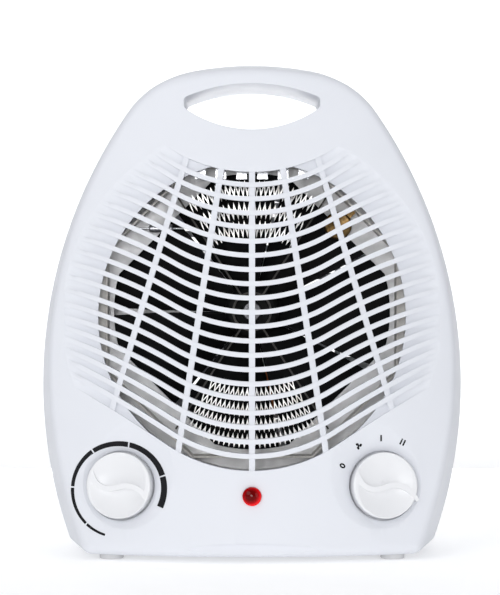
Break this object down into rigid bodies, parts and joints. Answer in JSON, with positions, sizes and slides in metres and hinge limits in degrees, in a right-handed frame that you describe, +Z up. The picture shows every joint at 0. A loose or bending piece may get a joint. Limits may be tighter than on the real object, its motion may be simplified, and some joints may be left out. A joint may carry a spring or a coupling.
{
  "type": "fan convector heater",
  "caption": "Upright fan heater with a bowed white casing, carrying grip, curved outlet grille, two control knobs and a red pilot lamp.",
  "frame": {"origin": "centre of the bounding box in plan, at the underside of the feet", "axes": "+Z up, the outlet grille faces -Y, +X is to the right seen from the front"},
  "size_m": [0.2152, 0.115, 0.2485],
  "materials": {
    "white_abs": "gloss-satin moulded ABS",
    "knob_abs": "satin moulded ABS, slightly warm white",
    "black_plastic": "matte black heat-resistant plastic",
    "switch_plastic": "off-white switch moulding",
    "rubber": "matte black rubber",
    "steel": "zinc plated",
    "duct_steel": "galvanised sheet",
    "laminations": "varnished laminations",
    "brass": "plain",
    "bronze": "sintered bronze",
    "copper": "bare copper",
    "winding": "enamelled wire under clear tape",
    "mica": "pressed mica sheet, matt grey-brown",
    "ceramic": "white unglazed ceramic",
    "resistance_alloy": "bright resistance ribbon",
    "red_lens": "glossy translucent red",
    "lamp_glass": "clear neon lamp glass"
  },
  "bodies": {
    "casing": {"front_cover": "white_abs", "rear_cover": "white_abs", "rubber_feet": "rubber", "case_screws": "steel", "cord_gland": "rubber", "terminal_block": "switch_plastic", "terminal_screws": "brass", "thermostat_frame": "steel", "thermostat_nut": "brass", "thermostat_insulators": "ceramic", "thermostat_blades": "brass", "selector_switch": "black_plastic", "selector_screws": "steel", "selector_terminals": "brass", "pilot_lens": "red_lens", "neon_lamp": "lamp_glass", "air_duct": "duct_steel", "duct_screws": "steel", "mica_frame": "mica", "mica_cards": "mica", "heating_ribbon_top": "resistance_alloy", "heating_ribbon_bottom": "resistance_alloy", "heater_supports": "ceramic", "heater_terminals": "steel", "thermal_cutout": "brass", "thermal_fuse": "steel", "motor_stator": "laminations", "shading_rings": "copper", "motor_winding": "winding", "front_bracket": "steel", "rear_bracket": "steel", "shaft_bearings": "bronze", "motor_screws": "steel", "stator_bolts": "steel"},
    "fan": {"fan_impeller": "black_plastic", "impeller_clip": "steel", "motor_shaft": "steel", "motor_rotor": "laminations"},
    "thermostat_control": {"thermostat_knob": "knob_abs", "thermostat_shaft": "steel"},
    "selector_control": {"selector_knob": "knob_abs", "selector_shaft": "steel"}
  },
  "joints": [
    {"name": "fan_spin", "type": "hinge", "parent": "casing", "child": "fan", "pos_m": [0, 0.008, 0.122], "axis": [0, -1, 0], "continuous": true},
    {"name": "thermostat_turn", "type": "hinge", "parent": "casing", "child": "thermostat_control", "pos_m": [-0.06376, -0.03913, 0.03624], "axis": [-0.1908, -0.9747, 0.1162], "range_deg": [-177, 100]},
    {"name": "selector_turn", "type": "hinge", "parent": "casing", "child": "selector_control", "pos_m": [0.06376, -0.03913, 0.03624], "axis": [0.1908, -0.9747, 0.1162], "range_deg": [-90, 0]}
  ]
}
